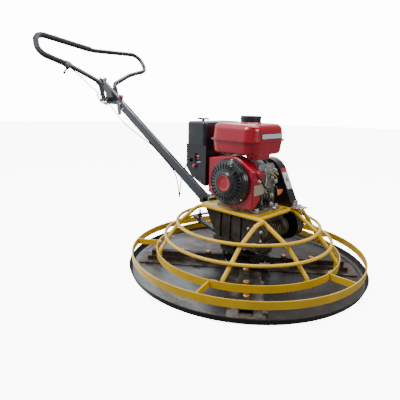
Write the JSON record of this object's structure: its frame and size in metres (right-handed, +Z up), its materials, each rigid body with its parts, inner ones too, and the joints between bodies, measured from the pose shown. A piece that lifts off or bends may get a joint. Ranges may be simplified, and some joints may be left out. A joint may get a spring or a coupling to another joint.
{
  "type": "power trowel",
  "caption": "Walk-behind power trowel: engine and gearbox on a round tubular guard, pitched blades over a float pan, sloping handle with loop handlebar and pitch knob.",
  "frame": {"origin": "on the floor, on the rotor's axis, under the float pan", "axes": "+Z up along the rotor's axis, -X towards the operator's handlebar, -Y the side with the recoil starter"},
  "size_m": [1.6097, 0.93, 0.9617],
  "materials": {
    "black_paint": "satin enamel",
    "black_plastic": "moulded",
    "blade_steel": "blued spring steel",
    "bronze": "machined bronze",
    "cast_aluminium": "as cast",
    "cast_iron": "as cast, painted grey",
    "filter_foam": "pleated paper",
    "grey_paint": "satin enamel",
    "machined_steel": "turned",
    "pan_steel": "rolled, lightly marked",
    "red_paint": "glossy enamel",
    "red_plastic": "moulded",
    "rubber": "moulded",
    "yellow_paint": "glossy powder coat",
    "zinc_steel": "zinc plated"
  },
  "bodies": {
    "chassis": {"air_cleaner_base": "black_plastic", "air_cleaner_cover": "black_plastic", "air_filter": "filter_foam", "belt_guard": "black_paint", "belt_guard_bracket": "zinc_steel", "carburettor": "cast_aluminium", "crankcase": "cast_aluminium", "cylinder": "cast_aluminium", "engine_plate": "yellow_paint", "fan_shroud": "red_paint", "frame_bolts": "zinc_steel", "fuel_tank": "red_paint", "gearbox_bearings": "machined_steel", "gearbox_cover": "cast_iron", "gearbox_housing": "cast_iron", "gearbox_seals": "rubber", "guard_frame": "yellow_paint", "guard_ring_middle": "yellow_paint", "guard_ring_outer": "yellow_paint", "guard_rod_rings": "yellow_paint", "guard_struts": "yellow_paint", "handle_bracket": "black_paint", "muffler": "black_paint", "oil_cap": "black_plastic", "recoil_cover": "black_paint", "rocker_cover": "black_paint", "spark_plug": "black_plastic", "v_belt": "rubber"},
    "rotor": {"output_shaft": "machined_steel", "worm_wheel": "bronze", "spider": "cast_iron"},
    "pan": {"float_pan": "pan_steel", "pan_clips": "blade_steel"},
    "arm_assembly_1": {"arm_1": "cast_iron", "blade_1": "blade_steel"},
    "arm_assembly_2": {"arm_2": "cast_iron", "blade_2": "blade_steel"},
    "arm_assembly_3": {"arm_3": "cast_iron", "blade_3": "blade_steel"},
    "arm_assembly_4": {"arm_4": "cast_iron", "blade_4": "blade_steel"},
    "collar": {"pressure_plate": "machined_steel"},
    "yoke": {"pitch_yoke": "cast_iron"},
    "input": {"worm_shaft": "machined_steel", "driven_pulley": "cast_iron"},
    "drum": {"clutch_drum": "cast_iron"},
    "crank": {"crankshaft": "machined_steel", "flywheel": "cast_iron"},
    "handle": {"handle_tube": "black_paint", "handlebar": "black_paint", "grip_sleeve": "rubber", "handle_fittings": "zinc_steel", "throttle_cable": "rubber"},
    "throttle": {"throttle_lever": "black_plastic"},
    "estop": {"estop_button": "red_plastic"},
    "safety": {"safety_lever": "zinc_steel"},
    "knob": {"pitch_knob": "grey_paint"},
    "tank_cap": {"fuel_cap": "black_plastic"},
    "starter": {"starter_grip": "black_plastic"},
    "choke": {"choke_lever": "black_plastic"}
  },
  "joints": [
    {"name": "rotor_spin", "type": "hinge", "parent": "chassis", "child": "rotor", "pos_m": [0, 0, 0.1], "axis": [0, 0, 1], "continuous": true},
    {"name": "pitch_knob_turn", "type": "hinge", "parent": "handle", "child": "knob", "pos_m": [-1.01458, 0, 0.73143], "axis": [-0.8443, 0, 0.5358], "range_deg": [0, 1081]},
    {"name": "arm_pitch_1", "type": "hinge", "parent": "rotor", "child": "arm_assembly_1", "pos_m": [0, 0, 0.032], "axis": [-0.788, -0.6157, 0], "range_deg": [0, 10.02]},
    {"name": "arm_pitch_2", "type": "hinge", "parent": "rotor", "child": "arm_assembly_2", "pos_m": [0, 0, 0.032], "axis": [0.6157, -0.788, 0], "range_deg": [0, 10.02]},
    {"name": "arm_pitch_3", "type": "hinge", "parent": "rotor", "child": "arm_assembly_3", "pos_m": [0, 0, 0.032], "axis": [0.788, 0.6157, 0], "range_deg": [0, 10.02]},
    {"name": "arm_pitch_4", "type": "hinge", "parent": "rotor", "child": "arm_assembly_4", "pos_m": [0, 0, 0.032], "axis": [-0.6157, 0.788, 0], "range_deg": [0, 10.02]},
    {"name": "collar_slide", "type": "slide", "parent": "rotor", "child": "collar", "axis": [0, 0, -1], "range_m": [0, 0.00602]},
    {"name": "pan_drop", "type": "slide", "parent": "rotor", "child": "pan", "axis": [0, 0, -1], "range_m": [0, 0.01047]},
    {"name": "yoke_tilt", "type": "hinge", "parent": "chassis", "child": "yoke", "pos_m": [-0.122, 0, 0.1], "axis": [0, 1, 0], "range_deg": [0, 2.81]},
    {"name": "input_spin", "type": "hinge", "parent": "chassis", "child": "input", "pos_m": [0.1, 0, 0.172], "axis": [0, 1, 0], "continuous": true},
    {"name": "drum_spin", "type": "hinge", "parent": "chassis", "child": "drum", "pos_m": [-0.006, 0.139, 0.355], "axis": [0, 1, 0], "continuous": true},
    {"name": "crank_spin", "type": "hinge", "parent": "chassis", "child": "crank", "pos_m": [-0.006, 0, 0.355], "axis": [0, 1, 0], "continuous": true},
    {"name": "handle_fold", "type": "hinge", "parent": "chassis", "child": "handle", "pos_m": [-0.22767, 0, 0.23204], "axis": [0, 1, 0], "range_deg": [0, 25], "deforming": ["throttle_cable"]},
    {"name": "throttle_turn", "type": "hinge", "parent": "handle", "child": "throttle", "pos_m": [-1.0016, -0.20602, 0.79718], "axis": [0.5771, -0.3513, -0.7373], "range_deg": [0, 40]},
    {"name": "estop_press", "type": "slide", "parent": "handle", "child": "estop", "axis": [-0.5358, 0, -0.8443], "range_m": [0, 0.004], "stiffness_N_per_m": 600},
    {"name": "safety_squeeze", "type": "hinge", "parent": "handle", "child": "safety", "pos_m": [-0.972, -0.018, 0.627], "axis": [0, 1, 0], "range_deg": [0, 12], "stiffness_Nm_per_rad": 1},
    {"name": "fuel_cap_turn", "type": "hinge", "parent": "chassis", "child": "tank_cap", "pos_m": [0.006, -0.02, 0.58], "axis": [0, 0, 1], "range_deg": [0, 90]},
    {"name": "starter_pull", "type": "slide", "parent": "chassis", "child": "starter", "axis": [0.6222, 0, 0.7828], "range_m": [0, 0.35], "stiffness_N_per_m": 60, "springref_m": -0.05},
    {"name": "choke_turn", "type": "hinge", "parent": "chassis", "child": "choke", "pos_m": [-0.18, -0.119, 0.416], "axis": [0, -1, 0], "range_deg": [-25, 25]}
  ],
  "couplings": [
    {"joint": "arm_pitch_1", "follows": "pan_drop", "rad_per_m": 16.667},
    {"joint": "arm_pitch_2", "follows": "pan_drop", "rad_per_m": 16.667},
    {"joint": "arm_pitch_3", "follows": "pan_drop", "rad_per_m": 16.667},
    {"joint": "arm_pitch_4", "follows": "pan_drop", "rad_per_m": 16.667},
    {"joint": "collar_slide", "follows": "pan_drop", "ratio": 0.57296},
    {"joint": "pitch_knob_turn", "follows": "pan_drop", "rad_per_m": 1800},
    {"joint": "yoke_tilt", "follows": "pan_drop", "rad_per_m": 4.6667},
    {"joint": "input_spin", "follows": "rotor_spin", "ratio": 20},
    {"joint": "drum_spin", "follows": "rotor_spin", "ratio": 23}
  ]
}
